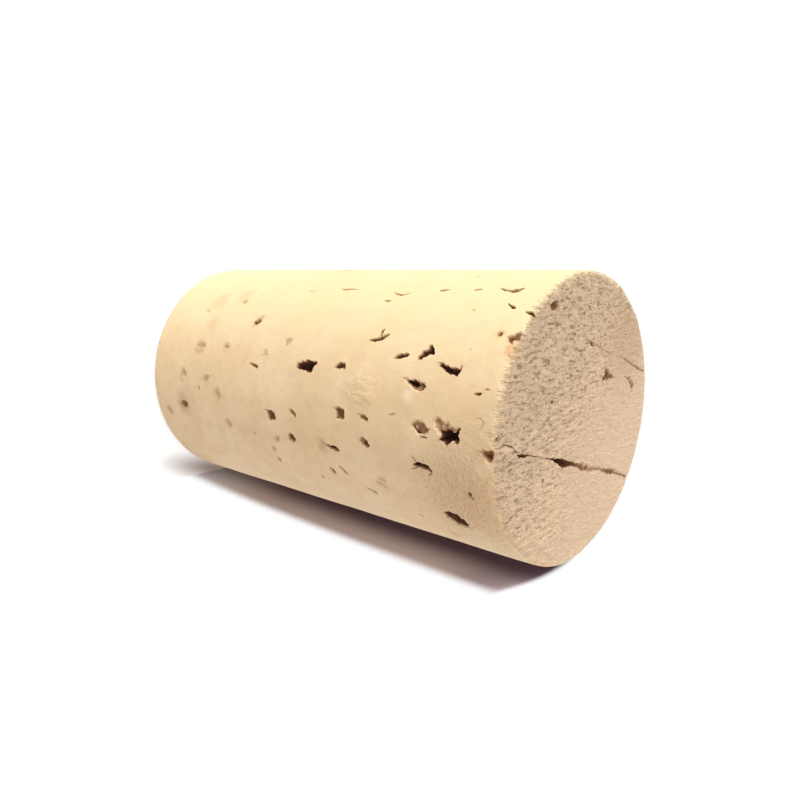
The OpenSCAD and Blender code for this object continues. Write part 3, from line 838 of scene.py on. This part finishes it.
def under_skin(node, at, z):
    """Depth under the ideal skin, and how far past the edge of the wall on to an end, both in mm."""
    flat = node(VECTOR_MATH, at, (1, 1, 0), operation="MULTIPLY")
    out = node(VECTOR_MATH, flat, operation="LENGTH")
    past_wall = node(MATH, out, RADIUS - RIM, operation="SUBTRACT")
    from_middle = node(MATH, node(MATH, z, LENGTH / 2, operation="SUBTRACT"), operation="ABSOLUTE")
    past_end = node(MATH, from_middle, LENGTH / 2 - RIM, operation="SUBTRACT")
    # The distance to a plug whose two rims are rounded alike
    corner = node(
        "ShaderNodeCombineXYZ",
        node(MATH, past_wall, 0.0, operation="MAXIMUM"), node(MATH, past_end, 0.0, operation="MAXIMUM"),
    )
    beyond = node(VECTOR_MATH, corner, operation="LENGTH")
    within = node(MATH, node(MATH, past_wall, past_end, operation="MAXIMUM"), 0.0, operation="MINIMUM")
    clean = node(MATH, RIM, node(MATH, beyond, within, operation="ADD"), operation="SUBTRACT")
    torn = node(MATH, node(NOISE, at, 2.6, 3.0), 0.5, operation="SUBTRACT")
    depth = node(MATH, torn, 0.16, clean, operation="MULTIPLY_ADD")
    apart = node(MATH, past_end, past_wall, operation="SUBTRACT")
    edge = node(MATH, node(NOISE, at, 1.7, 3.0), 1.2, apart, operation="MULTIPLY_ADD")
    return depth, edge


def wall_colour(node, at, x, cloud, tones):
    """Tan bark with soft clouds, and layers over it."""
    long_rings = node(MAPPING, at, None, None, (0.06, 0.8, 0.04))
    specks = node(MAPPING, at, (4, 2, 7), None, (1.6, 1.6, 1.1))
    # Each layer: (pattern, where it starts, where it is full, its strength there, tone)
    layers = [
        # Faint growth rings across Y
        (node(NOISE, long_rings, 1.0, 3.0, 0.6), 0.35, 0.7, 0.3, tones.ring),
        # Darker mottling
        (node(NOISE, at, 0.9, 4.0, 0.6), 0.4, 0.72, 0.25, tones.shade),
        # Fine freckles
        (node(NOISE, specks, 1.0, 1.5), 0.7, 0.8, 0.35, tones.freckle),
        # A painted highlight: the bark is painted yellower round the -X side, where the key lamp shines
        (x, -3.0, -10.5, 0.65, tones.painted_sunlit_yellow),
    ]
    # The shallowest small pores show as soft spots
    soft = [
        (drop, bearing, 0.25 + 0.5 * max(length, width), 0.75, "freckle")
        for drop, bearing, length, width, depth in SMALL_PORES if depth < 0.25
    ]
    patches = node(MATH, node(NOISE, at, 1.5, 3.0, 0.6), 0.5, operation="SUBTRACT")
    for drop, bearing, radius, strength, tone in STAINS + soft:
        away = node(VECTOR_MATH, at, on_wall(drop, bearing)(0, 0, 0), operation="DISTANCE")
        away = node(MATH, patches, 1.6, away, operation="MULTIPLY_ADD")
        layers.append((away, radius, 0.2 * radius, strength, getattr(tones, tone)))
    skin = node(MIX, cloud, linear(tones.tan), linear(tones.pale), **COLOURS)
    for pattern, start, full, strength, tone in layers:
        share = node(MAP_RANGE, pattern, start, full, 0.0, strength, **SMOOTH)
        skin = node(MIX, share, skin, linear(tone), **COLOURS)
    return skin


def end_colour(node, at, x, y, cloud, tones):
    """A little pinker than the wall, and darker down in the furrows, partly its own tone and partly painted
    shade: (colour, furrows, how rough it is).
    """
    shake = node(NOISE, at, 0.55).outputs["Color"]
    wander = node(VECTOR_MATH, shake, (0.35, 0.35, 0.0), at, operation="MULTIPLY_ADD")
    furrow = node(NOISE, node(MAPPING, wander, None, None, (3.4, 0.8, 1.0)), 1.0, 3.0, 0.65)
    grain = node(NOISE, node(MAPPING, at, None, None, (4.4, 2.3, 1.0)), 1.0, 2.5, 0.6)
    grain = node(MATH, grain, 0.38, operation="MULTIPLY")
    torn = node(MATH, furrow, 0.62, grain, operation="MULTIPLY_ADD")
    # The front of the end is torn rougher, and dark dust sits in its pits
    slanted = node(MATH, x, 0.8, y, operation="MULTIPLY_ADD")
    slanted = node(MATH, cloud, 4.0, slanted, operation="MULTIPLY_ADD")
    rougher = node(MAP_RANGE, slanted, -6.0, 12.0, 1.0, 0.3, **SMOOTH)
    # Painted shade, with the cork's own darker tone, down in the furrows of the torn relief
    sunk = node(MAP_RANGE, torn, 0.365, 0.515, 1.0, 0.0, **SMOOTH)
    dusty = node(MAP_RANGE, node(NOISE, at, 3.4, 2.0, 0.6), 0.58, 0.7, 0.0, 0.35, **SMOOTH)
    # One side of the end is duller
    away = node(VECTOR_MATH, at, (-6.5, 7.5, LENGTH), operation="DISTANCE")
    end = linear(tones.end_high)
    for share, tone in (
        (node(MATH, cloud, 0.35, operation="MULTIPLY"), tones.end_smooth),
        (node(MATH, sunk, rougher, operation="MULTIPLY"), tones.end_low),
        (node(MATH, dusty, rougher, operation="MULTIPLY"), tones.end_dust),
        (node(MAP_RANGE, rougher, 0.3, 0.8, 0.9, 0.0, **SMOOTH), tones.end_smooth),
        (node(MAP_RANGE, away, 1.0, 6.5, 0.35, 0.0, **SMOOTH), tones.end_low),
    ):
        end = node(MIX, share, end, linear(tone), **COLOURS)
    return end, torn, rougher


def pore_colour(node, depth, tones):
    """Honey at a pore's lip, brown on its walls, dark at its floor."""
    ramp = node("ShaderNodeValToRGB", node(MATH, depth, 0.5, operation="MULTIPLY"))
    stops = ramp.color_ramp.elements
    for position, tone in ((0.1, tones.honey), (0.18, tones.brown), (0.4, tones.dark)):
        stops.new(position).color = linear(tone)
    stops.remove(stops[0])
    stops.remove(stops[-1])
    return ramp


def wall_relief(node, at):
    """Height of the wall's fine relief, in mm."""
    height = node(MATH, node(NOISE, at, 1.1, 4.0, 0.6), 0.055, operation="MULTIPLY")
    height = node(MATH, node(NOISE, at, 5.0, 2.0), 0.012, height, operation="MULTIPLY_ADD")
    folds = node(MAPPING, at, (3, 1, 0), None, (1.5, 1.5, 1.0))
    # Patches: (pattern, middle, how far they are full, how far they reach, height)
    for pattern, middle, full, reach, tall in (
        # The front's lower half is a little rough near the cut end
        (node(NOISE, at, 3.4, 2.0), on_wall(2, 28), 2.0, 9.0, 0.34),
        # A patch of the front is crumpled
        (node(NOISE, folds, 1.0, 3.0, 0.55), on_wall(13.2, -12), 0.5, 2.4, 0.36),
    ):
        away = node(VECTOR_MATH, at, middle(0, 0, 0), operation="DISTANCE")
        share = node(MAP_RANGE, away, full, reach, tall, 0.0, **SMOOTH)
        height = node(MATH, pattern, share, height, operation="MULTIPLY_ADD")
    return height


def cork_finish(tones):
    """Natural cork, punched and lightly polished.

    Soft tan bark with faint rings, pores lined with brown dust, and a torn, matt cut end.
    """
    material = bpy.data.materials.new("natural_cork")
    material.use_nodes = True
    tree = material.node_tree
    tree.nodes.clear()
    node = partial(add_node, tree)
    # From here on a unit is 1 mm, so features are about one mm over a noise's scale
    at = node(MAPPING, node("ShaderNodeTexCoord").outputs["Object"], None, None, (1000, 1000, 1000))
    x, y, z = node(SEPARATE, at).outputs
    depth, edge = under_skin(node, at, z)
    on_end = node(MAP_RANGE, edge, 0.0, 1.2, **SMOOTH)
    # The wall's pale tone goes on over the worn rim
    end_tint = node(MAP_RANGE, edge, 0.0, 1.6, **SMOOTH)
    in_pore = node(MAP_RANGE, depth, 0.15, 0.27, **SMOOTH)

    cloud = node(MAP_RANGE, node(NOISE, at, 0.2, 3.0), 0.32, 0.68, **SMOOTH)
    skin = wall_colour(node, at, x, cloud, tones)
    end, torn, rougher = end_colour(node, at, x, y, cloud, tones)
    surface = node(MIX, end_tint, skin, end, **COLOURS)
    colour = node(MIX, in_pore, surface, pore_colour(node, depth, tones), **COLOURS)

    # Relief: fine on the wall, furrowed on the cut end, crumbly in the pores
    furrows = node(MATH, torn, 0.5, operation="SUBTRACT")
    end_height = node(MATH, furrows, node(MATH, rougher, 2.5, operation="MULTIPLY"), operation="MULTIPLY")
    pore_height = node(MATH, node(NOISE, at, 5.0, 3.0, 0.7), 0.16, operation="MULTIPLY")
    height = node(MIX, on_end, wall_relief(node, at), end_height)
    height = node(MIX, node(MAP_RANGE, depth, 0.2, 0.4, **SMOOTH), height, pore_height)
    bump = node("ShaderNodeBump", 0.9, MM, None, height)
    matt = node(MAP_RANGE, depth, 0.1, 0.35, tones.roughness, 0.95, **SMOOTH)
    shader = node("ShaderNodeBsdfPrincipled", colour, None, matt, 1.45, None, bump)
    node("ShaderNodeOutputMaterial", shader)
    return material


# ---------------------------------------------------------------- stage


def direct_look(node):
    """1 where the paper or the backdrop is seen by eye, in a gloss or through something clear."""
    rays = node("ShaderNodeLightPath").outputs
    gloss = node(MATH, rays["Is Glossy Ray"], rays["Is Transmission Ray"], operation="MAXIMUM")
    return node(MATH, rays["Is Camera Ray"], gloss, operation="MAXIMUM")


def away_from(node, place, middle, reach, turn=0.0):
    """How far a place lies from a middle, in units of the reach along each axis, both given in mm."""
    middle, reach = Vector(middle) * MM, Vector(reach) * MM
    around = node(MAPPING, place, middle, (0, 0, turn), reach, vector_type="TEXTURE")
    return node(VECTOR_MATH, around, operation="LENGTH")


def floor_shadow(node, place, glow):
    """How far the floor has faded to pure white, how clear it is of its painted shadow, and how much light it
    adds.
    """
    fade = node(MAP_RANGE, away_from(node, place, (0, 0, 0), (1, 1, 1)), 13, 26, **SMOOTHER)
    # A shadow is painted into the floor in the corner that the two sheets make, on the stopper's side of it
    corner = away_from(node, place, (RADIUS, -3.5, 0), (1.8, 9, 1), math.radians(-15.6))
    past = node(
        MAP_RANGE, node(SEPARATE, place).outputs["X"], (RADIUS + 0.1) * MM, (RADIUS + 3.5) * MM, **SMOOTH
    )
    clear_of_painted_shadow = node(MATH, node(MAP_RANGE, corner, 0.05, 1.3, **SMOOTH), past, operation="MAXIMUM")
    return fade, clear_of_painted_shadow, node(MATH, clear_of_painted_shadow, glow, operation="MULTIPLY")


def table_shadow(node, place, glow):
    """The same for the table, on which the real and painted shadow ends with the cut end, in a shallow curve.
    """
    _, y, z = node(SEPARATE, place).outputs
    aside = node(MATH, y, 3 * MM, operation="ADD")
    square = node(MATH, aside, aside, operation="MULTIPLY")
    up = node(MATH, square, 0.025 / MM, z, operation="MULTIPLY_ADD")
    end = node(MAP_RANGE, up, (LENGTH - 0.55) * MM, (LENGTH + 0.25) * MM, **SMOOTH)
    fade = node(MAP_RANGE, away_from(node, place, (TABLE_X, -1.5, 40), (1, 0.9, 6.7)), 7.4, 9.9, **SMOOTHER)
    fade = node(MATH, fade, end, operation="MAXIMUM")
    # A shadow is painted into the table, darkest where the stopper touches it, and darker near the cut end
    # than elsewhere
    touch = node(MAP_RANGE, away_from(node, place, (RADIUS, -0.5, 40), (1, 1, 9)), 2.9, 7.4, **SMOOTH)
    near_end = node(MAP_RANGE, z, 36 * MM, 43 * MM, 1.0, 0.6, **SMOOTH)
    clear_of_painted_shadow = node(MATH, touch, near_end, operation="MULTIPLY")
    # A painted glow near the floor stands in for light that the floor would throw back
    near_floor = node(MAP_RANGE, z, 14 * MM, 0.0, 0.0, glow)
    return fade, clear_of_painted_shadow, node(MATH, near_floor, clear_of_painted_shadow, operation="MULTIPLY")


def paper(name, colour, shade, shadow, glow, clear_back=False):
    """White paper that takes the stopper's soft shadow, deepened by a shadow painted into its colour, and is
    pure white away from it.
    """
    material = bpy.data.materials.new(name)
    material.use_nodes = True
    tree = material.node_tree
    tree.nodes.clear()
    node = partial(add_node, tree)
    fade, clear_of_painted_shadow, light = shadow(node, node("ShaderNodeTexCoord").outputs["Object"], glow)
    # The colour goes to the painted shadow colour, shade, where the stopper's shadow falls
    sheet = node("ShaderNodeBsdfDiffuse", node(MIX, clear_of_painted_shadow, linear(shade), linear(colour), **COLOURS))
    # Emission: on the floor it lifts the paper to white, on the table it is a painted glow
    lit = node("ShaderNodeAddShader", sheet, node("ShaderNodeEmission", None, light))
    pure_white = node("ShaderNodeEmission", None, 1.0)
    seen = node(MIX_SHADER, fade, lit, pure_white)
    shown = node(MIX_SHADER, direct_look(node), sheet, seen)
    if clear_back:
        back = node("ShaderNodeNewGeometry").outputs["Backfacing"]
        shown = node(MIX_SHADER, back, shown, node("ShaderNodeBsdfTransparent"))
    node("ShaderNodeOutputMaterial", shown)
    return material


def stage_sheet(name, corners, material):
    """A flat sheet of the stage."""
    mesh = mesh_from(name, corners, [(0, 1, 2, 3)])
    mesh.materials.append(material)
    sheet = add_object(name, mesh)
    return sheet


def key_lamp(strength, softness):
    """A soft, far lamp on the -X side."""
    data = bpy.data.lights.new("key", "SUN")
    data.energy = strength
    data.angle = softness
    lamp = add_object("key", data)
    lamp.rotation_mode = "QUATERNION"
    lamp.rotation_quaternion = Vector(KEY_WAY).to_track_quat("-Z", "Y")


def studio_world(horizon, above, below, warmth):
    """Soft white light from all round, with a white backdrop."""
    world = bpy.data.worlds.new("studio")
    world.use_nodes = True
    tree = world.node_tree
    tree.nodes.clear()
    node = partial(add_node, tree)
    across = node(SEPARATE, node("ShaderNodeTexCoord").outputs["Generated"]).outputs["X"]
    over = node(MAP_RANGE, across, 0, -1, horizon, above)
    under = node(MAP_RANGE, across, 0, 1, 0, below - horizon)
    total = node(MATH, over, under, operation="ADD")
    # The stopper's +X side is lit a little warmer, and passes none of that light on to the paper
    first = node(MATH, node("ShaderNodeLightPath").outputs["Diffuse Depth"], 1.5, operation="LESS_THAN")
    upper = node(MATH, across, 0.0, operation="LESS_THAN")
    kept = node(MATH, first, upper, operation="MAXIMUM")
    strength = node(MATH, total, kept, operation="MULTIPLY")
    warm = node(MIX, across, linear("FFFFFF"), linear(warmth), **COLOURS)
    light = node("ShaderNodeBackground", warm, strength)
    backdrop = node("ShaderNodeBackground", linear("FFFFFF"), 1.0)
    node("ShaderNodeOutputWorld", node(MIX_SHADER, direct_look(node), light, backdrop))
    # Even light needs no sampling of its own
    world.cycles.sampling_method = "NONE"
    bpy.context.scene.world = world


def stage_camera():
    """The camera, close to the split end and turned so that the stopper seems to lie on its side."""
    data = bpy.data.cameras.new("camera")
    data.sensor_width = CAMERA_SENSOR
    data.lens = CAMERA_LENS
    data.shift_x, data.shift_y = CAMERA_SHIFT
    data.clip_start = MM
    camera = add_object("camera", data)
    look = Vector(CAMERA_LOOK).normalized()
    right = look.cross(Vector((-1, 0, 0))).normalized()
    turn = Matrix((right, right.cross(look), -look)).transposed().to_4x4()
    camera.matrix_world = Matrix.Translation(Vector(CAMERA_PLACE) * MM) @ turn
    bpy.context.scene.camera = camera


# ---------------------------------------------------------------- add-on


class CorkSizes(bpy.types.PropertyGroup):
    """Sizes of the stopper's skin and pores."""

    wall_step: FloatProperty(
        name="Wall step", description="Spacing of the wall's points up it", default=0.00042, unit="LENGTH"
    )
    end_step: FloatProperty(
        name="End step", description="Spacing of the rings of the cut end", default=0.00017, unit="LENGTH"
    )
    end_segments: IntProperty(
        name="End segments", description="Points round the rim of the cut end", default=360
    )
    waviness: FloatProperty(
        name="Waviness", description="Unevenness of the whole skin", default=0.00007, unit="LENGTH"
    )
    furrow_depth: FloatProperty(
        name="Furrow depth", description="Depth of the torn furrows in the cut end", default=0.00006,
        unit="LENGTH",
    )
    pore_step: FloatProperty(
        name="Pore step", description="Spacing of the points in a pore", default=0.0001, unit="LENGTH"
    )
    raggedness: FloatProperty(
        name="Raggedness", description="How far a pore's mouth is torn from its outline", default=0.00016,
        unit="LENGTH",
    )
    lip: FloatProperty(
        name="Lip", description="Width of the worn lip round a pore's mouth", default=0.0001, unit="LENGTH"
    )
    small_pits: FloatProperty(
        name="Small pits", description="At most this many small pits in a square metre", default=90000.0
    )
    pit_width: FloatProperty(
        name="Pit width", description="Half width of a middling small pit", default=0.00013, unit="LENGTH"
    )
    pit_depth: FloatProperty(
        name="Pit depth", description="Depth of a middling small pit", default=0.00028, unit="LENGTH"
    )


class CorkTones(bpy.types.PropertyGroup):
    """Colours of the cork, as sRGB hex codes."""

    tan: StringProperty(name="Tan", description="Main colour of the wall", default="EFCFA1")
    pale: StringProperty(name="Pale", description="Lighter clouds of the wall", default="F5D9AF")
    # A painted highlight: the yellower tone painted on the -X side, where the key lamp shines
    painted_sunlit_yellow: StringProperty(name="Yellow", description="Bark on the -X side", default="F4E0AB")
    ring: StringProperty(name="Ring", description="Faint growth rings", default="E2C196")
    shade: StringProperty(name="Shade", description="Darker mottling", default="D6B188")
    freckle: StringProperty(name="Freckle", description="Fine freckles", default="C49A72")
    end_high: StringProperty(name="End crests", description="Crests of the cut end", default="FFDDB4")
    # The furrows' tone: partly the cork's own, partly painted shade
    end_low: StringProperty(name="End furrows", description="Furrows of the cut end", default="B68E68")
    end_smooth: StringProperty(
        name="Smooth end", description="Smoother parts of the cut end", default="E1C29F"
    )
    end_dust: StringProperty(name="End dust", description="Dust in the end's pits", default="A07E60")
    stain: StringProperty(name="Stain", description="Rusty stains beside pores", default="E0A872")
    # A painted highlight: the pale tone of patches where a pore's lower lip would catch the light
    lip: StringProperty(name="Lip", description="Worn patches beside pores", default="FFEBC4")
    honey: StringProperty(name="Honey", description="A pore's edge", default="BE8E66")
    brown: StringProperty(name="Brown", description="A pore's walls", default="7D5233")
    dark: StringProperty(name="Dark", description="A pore's floor", default="5A3329")
    roughness: FloatProperty(
        name="Roughness", description="Roughness of the polished wall", default=0.52, subtype="FACTOR"
    )


class CorkStage(bpy.types.PropertyGroup):
    """Light and paper, with colours as sRGB hex codes."""

    fill: FloatProperty(name="Fill", description="Soft light from all round", default=0.92)
    fill_above: FloatProperty(name="Fill above", description="Soft light from the -X side", default=1.0)
    fill_below: FloatProperty(name="Fill below", description="Soft light from the +X side", default=1.25)
    warmth: StringProperty(name="Warmth", description="Tint of the light from +X", default="FFF0E7")
    key: FloatProperty(name="Key", description="Lamp on the -X side", default=2.65)
    softness: FloatProperty(
        name="Softness", description="Angle that the key light spans", default=math.radians(30),
        subtype="ANGLE",
    )
    floor: StringProperty(name="Floor", description="The floor's paper", default="E1E1E1")
    # A painted shadow: the floor's colour in the corner beside the stopper
    floor_painted_shadow: StringProperty(
        name="Floor shade", description="The floor in the corner beside the stopper", default="A29389"
    )
    floor_glow: FloatProperty(
        name="Floor glow", description="Light that the floor adds to its own", default=0.5
    )
    # Its pink tint, seen only in the stopper's shadow, is a painted tint of the light that the stopper throws
    # back
    table: StringProperty(name="Table", description="The table's paper", default="F0DAD8")
    # A painted shadow: the table's colour where the stopper touches it
    table_painted_shadow: StringProperty(
        name="Table shade", description="The table where the stopper touches it", default="7C6579"
    )
    # A painted glow on the table near the floor, in place of light thrown back
    table_painted_glow: FloatProperty(
        name="Table glow", description="Light that the table adds to its own", default=0.12
    )


class CORK_OT_stage(bpy.types.Operator):
    """Sets up the pale floor, the table, the soft light and the camera"""

    bl_idname = "cork.stage"
    bl_label = "Stage"

    def execute(self, context):
        stage = context.scene.cork_stage
        s, x = SHEET_REACH, TABLE_X
        floor = paper("white_floor", stage.floor, stage.floor_painted_shadow, floor_shadow, stage.floor_glow)
        stage_sheet("floor", [(-s, -s, 0), (s, -s, 0), (s, s, 0), (-s, s, 0)], floor)
        # The table touches the +X side, which is the underside as the camera sees it
        table = paper(
            "pale_table", stage.table, stage.table_painted_shadow, table_shadow, stage.table_painted_glow, clear_back=True
        )
        sheet = stage_sheet("table", [(x, -s, -s), (x, -s, s), (x, s, s), (x, s, -s)], table)
        sheet.visible_diffuse = False
        sheet.visible_glossy = False
        sheet.visible_transmission = False
        sheet.visible_shadow = False
        studio_world(stage.fill, stage.fill_above, stage.fill_below, stage.warmth)
        key_lamp(stage.key, stage.softness)
        stage_camera()
        context.scene.view_settings.view_transform = "Standard"
        return {"FINISHED"}


class CORK_OT_stopper(bpy.types.Operator):
    """Builds the stopper: the plug, its pores, its cracks and its small pits"""

    bl_idname = "cork.stopper"
    bl_label = "Cork stopper"

    def execute(self, context):
        sizes, tones = context.scene.cork_sizes, context.scene.cork_tones
        plug = add_object("cork_plug", plug_mesh(sizes))
        for name, cutters in cutter_groups(sizes).items():
            cut(plug, cutters, name)
        run_tree(plug, pit_tree(), {
            "Pits per square metre": sizes.small_pits,
            "Width": sizes.pit_width,
            "Depth": sizes.pit_depth,
            "Material": cork_finish(tones),
        })
        drop_crumbs(plug.data)
        if not plug.data.polygons:
            raise RuntimeError("the plug has no faces left")
        plug.data.shade_smooth()
        plug.data.set_sharp_from_angle(angle=math.radians(50))
        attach(plug, "root")
        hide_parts("cork_stopper")
        return {"FINISHED"}


class CORK_PT_panel(bpy.types.Panel):
    """Lists the stopper's operators and its values"""

    bl_label = "Cork Stopper"
    bl_idname = "CORK_PT_panel"
    bl_space_type = "VIEW_3D"
    bl_region_type = "UI"
    bl_category = "Cork"

    def draw(self, context):
        for name in GROUPS:
            group = getattr(context.scene, name)
            box = self.layout.box()
            for value in group.__annotations__:
                box.prop(group, value)
        for operator in (CORK_OT_stage, CORK_OT_stopper):
            self.layout.operator(operator.bl_idname)


CLASSES = (CorkSizes, CorkTones, CorkStage, CORK_OT_stage, CORK_OT_stopper, CORK_PT_panel)
GROUPS = {"cork_sizes": CorkSizes, "cork_tones": CorkTones, "cork_stage": CorkStage}


def register():
    for cls in CLASSES:
        bpy.utils.register_class(cls)
    for name, group in GROUPS.items():
        setattr(bpy.types.Scene, name, PointerProperty(type=group))


def unregister():
    for name in GROUPS:
        delattr(bpy.types.Scene, name)
    for cls in reversed(CLASSES):
        bpy.utils.unregister_class(cls)


def main():
    register()
    bpy.ops.cork.stage()
    bpy.ops.cork.stopper()


if __name__ == "__main__":
    main()
